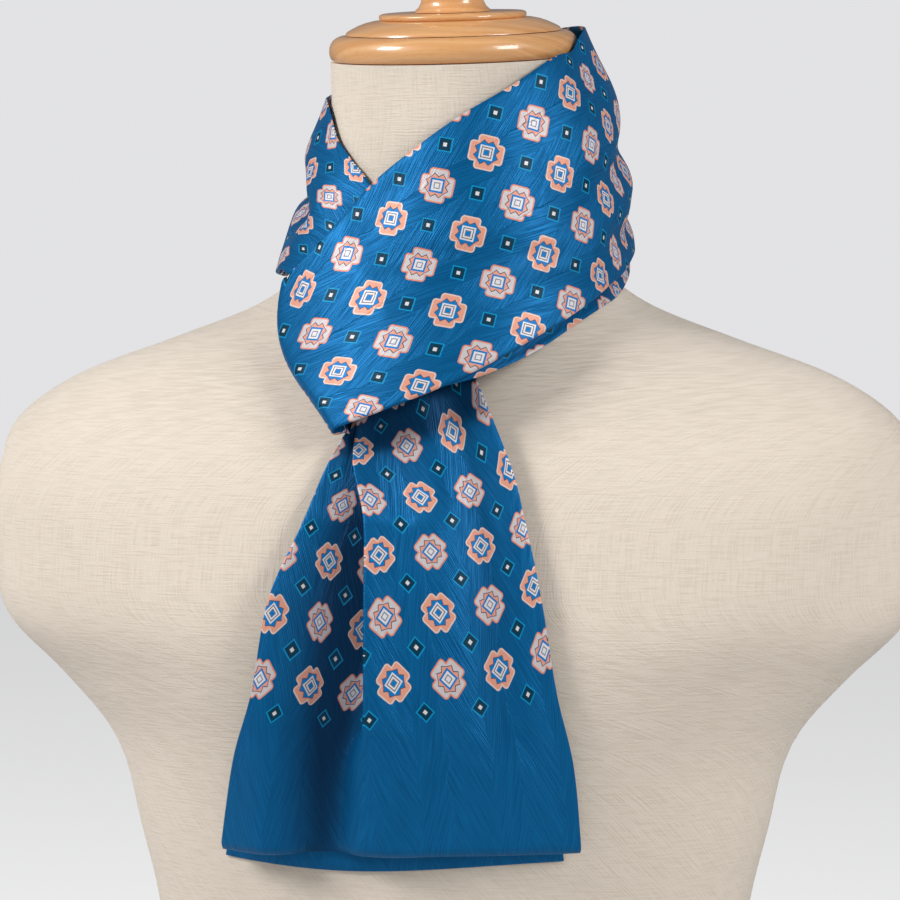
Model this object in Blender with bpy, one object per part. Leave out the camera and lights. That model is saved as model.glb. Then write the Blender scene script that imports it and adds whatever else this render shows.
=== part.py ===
"""A satin ascot wound round a linen dress form with a turned wooden neck cap.

Metres, +Z up, the form faces -Y. The origin is on the flat base, under the neck's axis.
Tables are in millimetres and degrees: "drop" is how far a point lies below the neck's top,
"out" how far it lies from the neck's axis, and "wound" how far round the neck the cloth has
gone, from the front past the -X side, the back and the +X side to the front again (360).
"""

import math

import bpy
import numpy as np
from mathutils import Euler, Vector

MM = 0.001

# Driving dimensions, in mm and degrees
NECK_TOP = 660.0  # height of the neck's top above the base
CAP_TILT = 5.2  # the cap leans forward
CAP_ROLL = 1.0  # and is a little higher on the +X side
TILT_FADES = 45.0  # the linen neck takes up the cap's tilt over this drop
SEAM = 0.3  # gap between pieces that meet

SCARF_WIDTH = 180.0  # flat
PLEAT_AT = 111.0  # the pleat's fold line, from the neck-side edge
WALL = 1.0  # two layers of satin
LAYERS_APART = 1.4  # centre to centre, inside the pleat
OPEN_PLEAT = 15.0  # width of the step that the pleat opens out to
PLEAT_OPENS_AT = (2.0, 10.0)  # the tuck, from open to fully folded
LEFT_FOLD_RADIUS = 5.0  # of the band's soft turn under
LEFT_FOLD_BOW = 12.5  # how far that turn bows out to the side, most near its top

FORM_SIDES = 44
TURNED_SIDES = 40


def table(columns, *rows):
    """The named columns of a table, as arrays. A first column called name stays text."""
    names = columns.split()
    return {
        name: np.array([row[i] for row in rows], None if name == "name" else float)
        for i, name in enumerate(names)
    }


def smooth(keys, values, at):
    """Values at places along a smooth curve that passes through a table's rows."""
    keys = np.asarray(keys, float)
    values = np.asarray(values, float)
    at = np.asarray(at, float)
    slopes = np.gradient(values, keys)
    row = np.clip(np.searchsorted(keys, at, side="right") - 1, 0, len(keys) - 2)
    step = keys[row + 1] - keys[row]
    t = (at - keys[row]) / step
    start = values[row] * (1 + 2 * t) + slopes[row] * step * t
    end = values[row + 1] * (3 - 2 * t) + slopes[row + 1] * step * (t - 1)
    return start * (1 - t) ** 2 + end * t**2


def polar(wound, out, drop):
    """Points from degrees wound round the neck, distance from its axis and drop, in mm."""
    angle = np.radians(wound)
    return np.stack([-out * np.sin(angle), -out * np.cos(angle), NECK_TOP - drop], -1)


def unit(vectors):
    return vectors / np.linalg.norm(vectors, axis=-1, keepdims=True)


def material(name, colour, roughness, **more):
    made = bpy.data.materials.new(name)
    made.use_nodes = True
    shader = made.node_tree.nodes["Principled BSDF"]
    shader.inputs["Base Color"].default_value = (*colour, 1.0)
    shader.inputs["Roughness"].default_value = roughness
    shader.inputs["Metallic"].default_value = 0.0
    for socket, value in more.items():
        shader.inputs[socket.replace("_", " ")].default_value = value
    return made


def add_mesh(name, points, faces, look, smooth_under=40.0):
    """An object from points in mm, smooth but for edges sharper than an angle in degrees."""
    mesh = bpy.data.meshes.new(name)
    mesh.from_pydata([Vector(p) * MM for p in points], [], faces)
    mesh.materials.append(look)
    mesh.shade_smooth()
    mesh.set_sharp_from_angle(angle=math.radians(smooth_under))
    made = bpy.data.objects.new(name, mesh)
    bpy.context.collection.objects.link(made)
    return made


def clear_scene():
    for old in list(bpy.data.objects):
        bpy.data.objects.remove(old, do_unlink=True)


# ---------------------------------------------------------------------------
# The dress form: a row for each level of the linen-covered body

FORM = table(
    "drop half_width front back squareness",
    (0, 64, 64, 64, 2.0),  # under the cap
    (40, 63.5, 64, 64, 2.0),
    (75, 65, 65.5, 68, 2.0),
    (98, 71, 68, 78, 1.95),
    (113, 82, 70.5, 86, 1.85),  # base of the neck
    (128, 104, 73.5, 93, 1.8),
    (144, 145, 76, 101, 1.8),
    (162, 194, 81, 109, 1.9),
    (182, 226, 88.5, 115, 2.15),
    (214, 240, 101, 120, 2.4),  # arm ends
    (252, 241, 110, 124, 2.45),
    (290, 234, 116, 124, 2.4),
    (318, 206, 118, 122, 2.3),
    (345, 182, 118, 119, 2.25),  # chest
    (400, 164, 114, 108, 2.2),
    (455, 153, 109, 101, 2.2),  # waist
    (520, 163, 112, 110, 2.25),
    (590, 174, 117, 121, 2.3),  # hips
    (660, 172, 115, 119, 2.3),
)
RINGS_PER_LEVEL = 2


def form_level(drop):
    """Half width, front, back and squareness of the body at a drop, or at an array of drops."""
    names = ("half_width", "front", "back", "squareness")
    return [smooth(FORM["drop"], FORM[name], drop) for name in names]


def form_out(wound, drop):
    """How far the body's surface lies from the neck's axis."""
    half_width, front, back, squareness = form_level(drop)
    turn = np.radians(wound)
    depth = np.where(np.cos(turn) > 0, front, back)
    across, along = np.abs(np.sin(turn)) / half_width, np.abs(np.cos(turn)) / depth
    return (across**squareness + along**squareness) ** (-1 / squareness)


def form_ring(drop):
    """One level of the body: a squared oval, deeper at the back than at the front."""
    half_width, front, back, squareness = form_level(drop)
    angle = np.linspace(0, 2 * math.pi, FORM_SIDES, endpoint=False)
    across, along = np.cos(angle), np.sin(angle)
    x = half_width * np.sign(across) * np.abs(across) ** (2 / squareness)
    depth = np.where(along < 0, front, back)
    y = depth * np.sign(along) * np.abs(along) ** (2 / squareness)
    return np.stack([x, y, np.full_like(x, NECK_TOP - drop)], -1)


def cap_lean():
    return Euler((math.radians(CAP_TILT), math.radians(-CAP_ROLL), 0))


def add_form_body(look):
    levels = FORM["drop"]
    drops = [levels[0]]
    for above, below in zip(levels[:-1], levels[1:]):
        drops += list(np.linspace(above, below, RINGS_PER_LEVEL + 1)[1:])
    lean = np.array(cap_lean().to_matrix())
    rings = []
    for drop in drops:
        ring = form_ring(drop)
        leaning = (ring - [0, 0, NECK_TOP + SEAM]) @ lean.T + [0, 0, NECK_TOP]
        share = max(0.0, 1 - drop / TILT_FADES) ** 2
        rings.append(ring * (1 - share) + leaning * share)
    points = [tuple(p) for ring in rings for p in ring]
    faces = [tuple(range(FORM_SIDES))]
    for i in range(len(rings) - 1):
        for j in range(FORM_SIDES):
            k = (j + 1) % FORM_SIDES
            upper, lower = i * FORM_SIDES, (i + 1) * FORM_SIDES
            faces.append((upper + j, lower + j, lower + k, upper + k))
    faces.append(tuple(reversed(range(len(points) - FORM_SIDES, len(points)))))
    return add_mesh("form_body", points, faces, look)


# ---------------------------------------------------------------------------
# The turned wooden cap: outlines run down the outer side, from the axis to the axis

CAP_RING = table(
    "radius height",
    (0, 13.0),
    (56.5, 13.0),
    (60.5, 12.2),
    (63.3, 9.8),
    (64.5, 6.3),
    (64.3, 3.0),
    (63.3, 0.9),
    (61.6, 0.0),
    (0, 0.0),
)
CAP_DOME = table(
    "radius height",
    (0, 23.6),
    (37.0, 23.6),
    (38.2, 22.6),
    (38.2, 21.2),
    (37.2, 20.4),
    (41.0, 20.2),
    (46.5, 18.9),
    (52.0, 16.6),
    (55.6, 14.6),
    (55.8, 13.3),
    (0, 13.3),
)
CAP_KNOB = table(
    "radius height",
    (0, 62.0),
    (9.0, 60.8),
    (17.0, 56.6),
    (21.5, 49.5),
    (21.8, 43.0),
    (18.6, 37.6),
    (16.2, 33.5),
    (17.0, 28.5),
    (19.5, 25.2),
    (19.5, 23.9),
    (0, 23.9),
)


def add_turned(name, outline, look, carried_by):
    """A piece turned about the cap's axis, placed by the empty at the neck's top."""
    radius, height = outline["radius"], outline["height"]
    angles = np.linspace(0, 2 * math.pi, TURNED_SIDES, endpoint=False)
    points = [(0, 0, height[0]), (0, 0, height[-1])]
    for r, h in zip(radius[1:-1], height[1:-1]):
        points += [(r * math.cos(a), r * math.sin(a), h) for a in angles]
    first, last = 2, 2 + (len(radius) - 3) * TURNED_SIDES
    faces = []
    for j in range(TURNED_SIDES):
        k = (j + 1) % TURNED_SIDES
        faces.append((0, first + j, first + k))
        faces.append((1, last + k, last + j))
        for i in range(len(radius) - 3):
            upper, lower = first + i * TURNED_SIDES, first + (i + 1) * TURNED_SIDES
            faces.append((upper + j, lower + j, lower + k, upper + k))
    made = add_mesh(name, points, faces, look)
    made.parent = carried_by
    return made


def add_cap(look):
    neck_top = bpy.data.objects.new("neck_top", None)
    neck_top.location = (0, 0, NECK_TOP * MM)
    neck_top.rotation_euler = cap_lean()
    bpy.context.collection.objects.link(neck_top)
    for name, outline in (("cap_ring", CAP_RING), ("cap_dome", CAP_DOME), ("cap_knob", CAP_KNOB)):
        add_turned(name, outline, look, neck_top)


# ---------------------------------------------------------------------------
# The scarf. Each row is a section across the cloth, in order along it: where its neck-side
# edge ("top") and the pleat's fold lie, how far the face between them bellies out, and how
# deep the pleat tucks the cloth back under the face

SCARF = table(
    "name top_wound top_out top_drop fold_wound fold_out fold_drop belly tuck",
    ("hem", -35.0, 137.4, 395.0, 12.1, 128.0, 396.0, 5.7, 0),
    ("tail_low", -32.8, 139.6, 351.0, 11.9, 131.7, 351.0, 5.0, 2),
    ("tail_knee", -29.8, 138.2, 315.0, 13.4, 132.1, 316.0, 4.0, 7),
    ("tail_mid", -27.4, 132.5, 269.0, 13.1, 127.5, 270.0, 2.8, 12),
    ("tail_high", -24.2, 122.9, 230.5, 13.4, 121.0, 231.0, 2.6, 20),
    ("tail_neck", -20.9, 113.9, 201.5, 17.9, 115.6, 202.0, 2.6, 28),
    ("crossing", -13.7, 98.7, 162.6, 19.5, 113.7, 183.0, 2, 32.5),
    ("under_low", -7.3, 93.0, 138.0, 26.3, 109.0, 163.5, 3, 34),
    ("under_high", 5.8, 82.0, 106.0, 38.0, 102.0, 139.0, 3, 34),
    ("vee", 28.3, 69.5, 68.5, 45.0, 97.5, 116.5, 2, 34),
    ("left_front", 43.6, 67.0, 53.0, 56.5, 96.5, 108.0, 2, 34),
    ("left_near", 55.0, 66.5, 43.0, 67.0, 95.5, 110.0, 2, 34),
    ("left", 72.5, 65.8, 20.0, 84.0, 91.5, 111.0, 2, 34),
    ("left_back", 105.0, 67.0, 10.0, 112.0, 90.0, 109.0, 4, 33),
    ("back_left", 140.0, 67.5, 0.0, 146.0, 90.5, 106.0, 4, 32),
    ("back", 180.0, 67.5, -9.0, 183.0, 91.0, 103.0, 5, 32),
    ("back_right", 220.0, 68.0, -16.0, 218.0, 92.0, 100.0, 5, 31),
    ("right_back", 245.0, 68.0, -17.0, 240.0, 93.0, 98.0, 5, 31),
    ("right", 265.0, 67.5, -14.5, 257.0, 93.5, 97.0, 5, 31),
    ("right_near", 279.0, 67.5, -10.0, 267.0, 93.5, 99.5, 5, 30),
    ("right_front", 289.0, 67.5, -2.0, 276.0, 94.0, 103.0, 5, 29),
    ("band_1", 305.0, 68.5, 2.0, 288.0, 94.5, 111.0, 5, 29),
    ("band_2", 327.4, 69.5, 16.6, 300.0, 97.0, 117.5, 5, 30),
    ("band_3", 349.0, 71.5, 31.5, 315.0, 100.0, 129.0, 6, 31),
    ("band_4", 369.0, 73.5, 49.5, 331.0, 104.5, 142.0, 6, 31),
    ("band_5", 385.0, 77.0, 66.5, 345.0, 109.0, 155.0, 6, 32.5),
    ("band_6", 394.5, 86.5, 85.0, 358.5, 113.5, 167.0, 4, 35),
    ("left_fold", 408.0, 101.5, 112.5, 381.5, 119.0, 185.0, 2.5, 36),
)
STATION = {str(name): float(i) for i, name in enumerate(SCARF["name"])}

# Where the back tail's two edges lie, from the end of the band's turn under to the hem, and
# its height over the body
TAIL_BACK = table(
    "right_wound right_drop left_wound left_drop lift",
    (46.0, 112, 21, 187, 0),
    (33, 110, 16, 190, 3),
    (12, 116, 14, 195, 2.5),
    (-6, 136, 15, 200, 1.7),
    (-14, 170, 19.5, 207, 1.2),
    (-19, 205, 26, 217, 1),
    (-25, 260, 30, 262, 0.9),
    (-28, 320, 35.5, 320, 0.9),
    (-30, 360, 41, 361, 1.2),
    (-31.5, 399, 45.5, 402, 1.6),
)
TAIL_BACK_STEPS = 3  # rows of points from one row of the table to the next
TAIL_BACK_COLUMNS = 12
TAIL_BACK_SETTLES = 2  # table rows over which it comes down from the turn onto the body

# A row for each large crease of the face: where it runs from and to, how far from the
# neck-side edge at each end, its height (a trough below 0) and its half width, in mm
CREASES = (
    # name, from, to, across_from, across_to, height, half_width
    ("left_upper_lobe", "vee", "back_left", 24, 30, 3.5, 15),
    ("left_notch", "left_front", "back", 36, 56, -6.5, 9),
    ("left_lower_lobe", "left_front", "back", 66, 84, 2.5, 16),
    ("right_upper_lobe", "back_left", "band_2", 34, 40, 4.0, 20),
    ("right_notch", "back", "band_2", 58, 66, -3.0, 8),
    ("right_lower_lobe", "back", "band_2", 80, 82, 2.5, 12),
    ("right_lower_notch", "back", "band_2", 94, 97, -4.0, 8),
    ("tail_hollow", "tail_neck", "under_high", 40, 42, -6.0, 22),
    ("tail_trough", "tail_low", "under_low", 34, 14, -3.5, 13),
)

# The stretches that show, each a piece of its own
STRETCHES = (
    # name, from, to, rows
    ("tail_front", "hem", "under_low", 20),
    ("neck_left", "under_low", "left_back", 19),
    ("neck_back", "left_back", "right_back", 15),
)
BAND_ROWS = 32
TURN_ROWS = 5
FACE_COLUMNS = 13
TURN_COLUMNS = 4
REST_COLUMNS = 5
STATION_STEP, ACROSS_STEP = 0.02, 0.5  # for directions along and across the cloth


def at_station(station, column):
    return smooth(np.arange(len(SCARF["name"])), SCARF[column], station)


def base_surface(station, across):
    """The scarf's face, carried on flat past the pleat: station x across grid of points."""
    station = station[:, None]
    top = polar(*(at_station(station, "top_" + c) for c in ("wound", "out", "drop")))
    fold = polar(*(at_station(station, "fold_" + c) for c in ("wound", "out", "drop")))
    face = np.linalg.norm(fold - top, axis=-1)
    share = across / face
    outward = unit(((top + fold) / 2) * [1, 1, 0])
    line = top + (fold - top) * share[..., None]
    arch = 4 * share * (1 - share)
    belly = at_station(station, "belly")
    points = line + outward * (arch * belly)[..., None]
    bowed = np.clip(station - STATION["band_6"], 0, 1) * LEFT_FOLD_BOW
    section = unit(fold - top)
    onward = unit(np.cross(section, outward))
    bow = np.clip(arch, 0, None) * (1.8 - 1.7 * share) * bowed
    return points + onward * bow[..., None], face


def crease_height(station, across):
    """How far the creases lift the cloth: soft ridges that fade at both their ends."""
    total = np.zeros(np.broadcast(station[:, None], across).shape)
    for _, start, end, across_from, across_to, height, half_width in CREASES:
        first, last = STATION[start], STATION[end]
        along = np.clip((station[:, None] - first) / (last - first), 0, 1)
        middle = across_from + (across_to - across_from) * along
        side = np.exp(-(((across - middle) / half_width) ** 2))
        total += height * side * np.sin(math.pi * along) ** 0.7
    return total


def pleat_path(face, tuck):
    """Across the cloth at one station: (distance from the top edge, depth under the face)."""
    radius = LAYERS_APART / 2
    half_turn = np.linspace(0, math.pi, TURN_COLUMNS + 1)
    round_x, round_e = radius * np.sin(half_turn), radius * (1 - np.cos(half_turn))
    flat = np.linspace(0, face, FACE_COLUMNS + 1)[:-1]
    slant = 0.1 * LAYERS_APART
    folded_x = np.concatenate([round_x, -tuck - round_x])
    depth = np.concatenate([round_e * (1 - slant), 2 * LAYERS_APART - round_e[::-1] * (1 - slant)])
    open_x = OPEN_PLEAT * np.arccos(1 - depth / LAYERS_APART) / math.pi
    opens_at, folds_at = PLEAT_OPENS_AT
    folded = np.clip((tuck - opens_at) / (folds_at - opens_at), 0, 1)
    pleat_x = face + open_x * (1 - folded) + folded_x * folded
    peek = SCARF_WIDTH - PLEAT_AT - 2 * tuck
    rest = np.linspace(pleat_x[-1], face + peek, REST_COLUMNS + 1)[1:]
    x = np.concatenate([flat, pleat_x, rest])
    e = np.concatenate([0 * flat, depth, np.full(REST_COLUMNS, 2 * LAYERS_APART)])
    return x, e


def scarf_grid(stations):
    """The middle of the cloth as rows of points along the scarf, pleat and creases included.

    Also the way out from the neck and the way across the cloth at every point, and how deep
    the pleat's layers lie in each column.
    """
    _, face = base_surface(stations, np.zeros((len(stations), 1)))
    paths = [pleat_path(float(f), float(t)) for f, t in zip(face[:, 0], at_station(stations, "tuck"))]
    across = np.array([x for x, _ in paths])
    depth = np.array([e for _, e in paths])
    points, _ = base_surface(stations, across)
    ahead, _ = base_surface(stations + STATION_STEP, across)
    behind, _ = base_surface(stations - STATION_STEP, across)
    inner, _ = base_surface(stations, across - ACROSS_STEP)
    outer, _ = base_surface(stations, across + ACROSS_STEP)
    outward = unit(np.cross(ahead - behind, outer - inner))
    lift = crease_height(stations, across) - depth
    return points + outward * lift[..., None], outward, unit(outer - inner), depth[-1]


def scarf_rows(stations):
    """The scarf's middle at some stations, and the wall's direction at every point."""
    middle, outward, across, depth = scarf_grid(stations)
    along = scarf_grid(stations + STATION_STEP)[0] - scarf_grid(stations - STATION_STEP)[0]
    faces_out = unit(np.cross(along, np.gradient(middle, axis=1)))
    return middle, faces_out, outward, across, depth


def left_turn(section, faces_out, outward, across, depth):
    """The band's end turned under: half round a soft fold, the pleat's layers inside its face."""
    onward = unit(np.cross(across, outward))
    radius = (LEFT_FOLD_RADIUS - depth)[:, None]
    turned, turned_out = [], []
    for i in range(1, TURN_ROWS + 1):
        angle = math.pi * i / TURN_ROWS
        turned.append(section + (onward * math.sin(angle) - outward * (1 - math.cos(angle))) * radius)
        radial = (faces_out * outward).sum(-1, keepdims=True)
        swung = onward * math.sin(angle) + outward * math.cos(angle)
        turned_out.append(unit(faces_out - outward * radial + swung * radial))
    return np.array(turned), np.array(turned_out)


def add_wall(name, middle, faces_out, look):
    """A closed wall of cloth about a grid of middle points."""
    rows, columns = middle.shape[:2]
    outer = (middle + faces_out * WALL / 2).reshape(-1, 3)
    inner = (middle - faces_out * WALL / 2).reshape(-1, 3)
    points = np.concatenate([outer, inner])
    count = rows * columns
    faces = []
    for i in range(rows - 1):
        for j in range(columns - 1):
            a, b = i * columns + j, i * columns + j + 1
            c, d = b + columns, a + columns
            faces.append((a, d, c, b))
            faces.append((a + count, b + count, c + count, d + count))
    rim = [j for j in range(columns)]
    rim += [i * columns + columns - 1 for i in range(1, rows)]
    rim += [(rows - 1) * columns + j for j in range(columns - 2, -1, -1)]
    rim += [i * columns for i in range(rows - 2, 0, -1)]
    for a, b in zip(rim, rim[1:] + rim[:1]):
        faces.append((a, b, b + count, a + count))
    return add_mesh(name, [tuple(p) for p in points], faces, look, smooth_under=60.0)


def stations_between(start, end, rows, trim_start=True, trim_end=True):
    """Evenly spaced stations, held back from a neighbour by half the seam's gap."""
    first, last = STATION[start], STATION[end]
    row_length = 16.0  # mm of cloth from one table row to the next, where it is shortest
    trim = SEAM / 2 / row_length
    return np.linspace(first + trim * trim_start, last - trim * trim_end, rows)


def add_scarf(look):
    for name, start, end, rows in STRETCHES:
        stations = stations_between(start, end, rows, trim_start=start != "hem")
        middle, faces_out, *_ = scarf_rows(stations)
        add_wall(name, middle, faces_out, look)
    stations = stations_between("right_back", "left_fold", BAND_ROWS, trim_end=False)
    middle, faces_out, outward, across, depth = scarf_rows(stations)
    turned, turned_out = left_turn(middle[-1], faces_out[-1], outward[-1], across[-1], depth)
    middle = np.concatenate([middle, turned])
    add_wall("front_band", middle, np.concatenate([faces_out, turned_out]), look)
    add_tail_back(turned[-1][: FACE_COLUMNS + 1], look)


def add_tail_back(band_end, look):
    """The back tail, from the band's turned-under end down the body to the hem."""
    share = np.linspace(0, 1, TAIL_BACK_COLUMNS + 1)
    keys = np.arange(len(TAIL_BACK["lift"]))
    at = np.linspace(0, keys[-1], keys[-1] * TAIL_BACK_STEPS + 1)[:, None]
    edges = {name: smooth(keys, TAIL_BACK[name], at) for name in TAIL_BACK}
    wound = edges["right_wound"] * (1 - share) + edges["left_wound"] * share
    drop = edges["right_drop"] * (1 - share) + edges["left_drop"] * share
    middle = polar(wound, form_out(wound, drop) + edges["lift"], drop)
    before = np.linspace(0, 1, len(band_end))
    start = np.stack([np.interp(share, before, band_end[:, axis]) for axis in range(3)], -1)
    settled = np.clip(at / TAIL_BACK_SETTLES, 0, 1)[..., None]
    middle += (1 - settled) ** 2 * (1 + 2 * settled) * (start - middle[0])
    middle[0] += unit(middle[1] - middle[0]) * SEAM
    middle = middle[:, ::-1]
    faces_out = unit(np.cross(np.gradient(middle, axis=0), np.gradient(middle, axis=1)))
    add_wall("tail_back", middle, faces_out, look)


def build():
    clear_scene()
    linen = material("linen", (0.83, 0.74, 0.62), 0.9)
    wood = material("varnished_wood", (0.72, 0.40, 0.18), 0.3, Coat_Weight=0.6)
    satin = material("satin", (0.008, 0.105, 0.30), 0.42, Sheen_Weight=0.25)
    add_form_body(linen)
    add_cap(wood)
    add_scarf(satin)


build()
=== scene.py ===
import math

import bpy
import numpy as np
from mathutils import Euler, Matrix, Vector


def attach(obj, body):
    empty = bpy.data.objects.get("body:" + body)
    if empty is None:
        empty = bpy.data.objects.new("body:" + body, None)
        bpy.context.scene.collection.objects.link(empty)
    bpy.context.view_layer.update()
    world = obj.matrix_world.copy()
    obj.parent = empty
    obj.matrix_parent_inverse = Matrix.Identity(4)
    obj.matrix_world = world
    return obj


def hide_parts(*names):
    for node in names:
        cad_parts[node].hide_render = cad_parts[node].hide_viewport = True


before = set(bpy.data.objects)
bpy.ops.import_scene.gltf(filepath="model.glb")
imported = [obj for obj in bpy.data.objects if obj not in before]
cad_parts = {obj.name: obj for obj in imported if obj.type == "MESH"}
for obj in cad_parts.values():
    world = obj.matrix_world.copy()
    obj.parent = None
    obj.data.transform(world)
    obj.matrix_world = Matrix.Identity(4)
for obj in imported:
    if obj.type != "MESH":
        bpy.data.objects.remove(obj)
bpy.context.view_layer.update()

# ---------------------------------------------------------------------------
# The linen body: a limbless display form of foam and fibre, covered in plain-woven linen
# that is pulled smooth and glued under the neck cap and the base.

MM = 0.001
NECK_TOP = 660.0  # mm above the base; every drop is measured down from it
CAP_TILT, CAP_ROLL = 5.2, 1.0  # degrees that the cap leans forward and sideways
TILT_FADES = 45.0  # mm below the neck's top, where the body stops leaning with the cap
SEAM = 0.3  # mm between pieces that lie on one another
FORM_SIDES = 132
RINGS_PER_LEVEL = 6


def table(columns, *rows):
    """The named columns of a table, as arrays. A first column called name stays text."""
    names = columns.split()
    return {
        name: np.array([row[i] for row in rows], None if name == "name" else float)
        for i, name in enumerate(names)
    }


def smooth(keys, values, at):
    """Values at places along a smooth curve that passes through a table's rows."""
    keys = np.asarray(keys, float)
    values = np.asarray(values, float)
    at = np.asarray(at, float)
    slopes = np.gradient(values, keys)
    row = np.clip(np.searchsorted(keys, at, side="right") - 1, 0, len(keys) - 2)
    step = keys[row + 1] - keys[row]
    t = (at - keys[row]) / step
    start = values[row] * (1 + 2 * t) + slopes[row] * step * t
    end = values[row + 1] * (3 - 2 * t) + slopes[row + 1] * step * (t - 1)
    return start * (1 - t) ** 2 + end * t**2


def polar(wound, out, drop):
    """Points in mm from degrees round the neck, distance from its axis and drop."""
    angle = np.radians(wound)
    return np.stack([-out * np.sin(angle), -out * np.cos(angle), NECK_TOP - drop], -1)


def unit(vectors):
    """The same directions, one long."""
    return vectors / np.linalg.norm(vectors, axis=-1, keepdims=True)


def add_piece(name, points, faces, look, uv=None, sharp_over=50.0, painted_shade=None):
    """A mesh object from points in mm; uv holds the cloth's own metres for every face corner,
    and the last argument holds each point's painted shade, for a fold or the band above it, from 0
    to 1."""
    mesh = bpy.data.meshes.new(name)
    mesh.from_pydata([Vector(p) * MM for p in points], [], faces)
    if uv is not None:
        layer = mesh.uv_layers.new(name="cloth")
        layer.data.foreach_set("uv", (np.asarray(uv, np.float32) * MM).ravel())
    # The painted shade goes on the points, where the material reads it
    if painted_shade is not None:
        depth = mesh.attributes.new("painted_fold_shade", "FLOAT", "POINT")
        depth.data.foreach_set("value", np.asarray(painted_shade, np.float32))
    mesh.materials.append(look)
    mesh.shade_smooth()
    mesh.set_sharp_from_angle(angle=math.radians(sharp_over))
    made = bpy.data.objects.new(name, mesh)
    bpy.context.scene.collection.objects.link(made)
    return made


def add_node(tree, kind, inputs=None, **settings):
    """A shader node; an input is a value, or another node's output to link."""
    node = tree.nodes.new(kind)
    for name, value in settings.items():
        setattr(node, name, value)
    for key, value in (inputs or {}).items():
        if isinstance(value, bpy.types.NodeSocket):
            tree.links.new(value, node.inputs[key])
        else:
            node.inputs[key].default_value = value
    return node


def calc(tree, operation, *values, clamp=False):
    """One sum over the surface; each value is a number, or another node's output."""
    node = add_node(tree, "ShaderNodeMath", dict(enumerate(values)), operation=operation)
    node.use_clamp = clamp
    return node.outputs[0]


def paint(tree, mask, under, over):
    """One colour laid over another where the mask is 1."""
    mix = add_node(tree, "ShaderNodeMix", {0: mask, 6: under, 7: over}, data_type="RGBA")
    return mix.outputs[2]


def new_group(name, inputs, outputs):
    """A shader node group with named sockets: (group, its input node, its output node)."""
    group = bpy.data.node_groups.new(name, "ShaderNodeTree")
    for socket, kind, value in inputs:
        made = group.interface.new_socket(name=socket, in_out="INPUT", socket_type=kind)
        made.default_value = value
    for socket, kind in outputs:
        group.interface.new_socket(name=socket, in_out="OUTPUT", socket_type=kind)
    return group, group.nodes.new("NodeGroupInput"), group.nodes.new("NodeGroupOutput")


def new_material(name, colour, roughness, **more):
    """A material whose principled shader has its constant values set."""
    made = bpy.data.materials.new(name)
    made.use_nodes = True
    shader = made.node_tree.nodes["Principled BSDF"]
    shader.inputs["Base Color"].default_value = (*colour, 1.0)
    shader.inputs["Roughness"].default_value = roughness
    for socket, value in more.items():
        shader.inputs[socket.replace("_", " ")].default_value = value
    return made, made.node_tree, shader


def make_streaks():
    """Group: noise drawn out along one direction, for threads, wood grain and strokes."""
    group, given, result = new_group(
        "streaks",
        [("Across", "NodeSocketFloat", 0.0), ("Along", "NodeSocketFloat", 0.0),
         ("Width", "NodeSocketFloat", 1.0), ("Length", "NodeSocketFloat", 10.0),
         ("Detail", "NodeSocketFloat", 2.0), ("Seed", "NodeSocketFloat", 0.0)],
        [("Value", "NodeSocketFloat")],
    )
    across = calc(group, "DIVIDE", given.outputs["Across"], given.outputs["Width"])
    along = calc(group, "DIVIDE", given.outputs["Along"], given.outputs["Length"])
    seed = given.outputs["Seed"]
    place = add_node(group, "ShaderNodeCombineXYZ", {0: across, 1: along, 2: seed})
    noise = add_node(group, "ShaderNodeTexNoise",
                     {"Vector": place.outputs[0], "Scale": 1.0, "Detail": given.outputs["Detail"],
                      "Roughness": 0.55})
    group.links.new(noise.outputs["Fac"], result.inputs["Value"])
    return group


STREAKS = make_streaks()


def streaks(tree, across, along, width, length, detail, seed):
    """Streaks of a width and a length in mm, from 0 to 1."""
    values = {"Across": across, "Along": along, "Width": width, "Length": length,
              "Detail": detail, "Seed": seed}
    return add_node(tree, "ShaderNodeGroup", values, node_tree=STREAKS).outputs["Value"]


FORM = table(
    "drop half_width front back squareness",
    (0, 64, 64, 64, 2.0),  # under the cap
    (40, 63.5, 64, 64, 2.0),
    (75, 65, 65.5, 68, 2.0),
    (98, 71, 68, 78, 1.95),
    (113, 82, 70.5, 86, 1.85),  # base of the neck
    (128, 104, 73.5, 93, 1.8),
    (144, 145, 76, 101, 1.8),
    (162, 194, 81, 109, 1.9),
    (182, 226, 88.5, 115, 2.15),
    (214, 240, 101, 120, 2.4),  # arm ends
    (252, 241, 110, 124, 2.45),
    (290, 234, 116, 124, 2.4),
    (318, 206, 118, 122, 2.3),
    (345, 182, 118, 119, 2.25),  # chest
    (400, 164, 114, 108, 2.2),
    (455, 153, 109, 101, 2.2),  # waist
    (520, 163, 112, 110, 2.25),
    (590, 174, 117, 121, 2.3),  # hips
    (660, 172, 115, 119, 2.3),
)


def form_level(drop):
    """Half width, front, back and squareness of the body at a drop, or at many."""
    names = ("half_width", "front", "back", "squareness")
    return [smooth(FORM["drop"], FORM[name], drop) for name in names]


def form_out(wound, drop):
    """How far the body's surface lies from the neck's axis."""
    half_width, front, back, squareness = form_level(drop)
    turn = np.radians(wound)
    depth = np.where(np.cos(turn) > 0, front, back)
    across, along = np.abs(np.sin(turn)) / half_width, np.abs(np.cos(turn)) / depth
    return (across**squareness + along**squareness) ** (-1 / squareness)


def cap_lean():
    """How the cap, and the top of the neck under it, leans."""
    return Euler((math.radians(CAP_TILT), math.radians(-CAP_ROLL), 0))


def cloth_place(tree):
    """Where each point lies on the flat cloth: mm across it, and mm along it."""
    cloth = add_node(tree, "ShaderNodeUVMap", uv_map="cloth")
    place = add_node(tree, "ShaderNodeSeparateXYZ", {0: cloth.outputs[0]})
    return [calc(tree, "MULTIPLY", place.outputs[axis], 1 / MM) for axis in range(2)]


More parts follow.
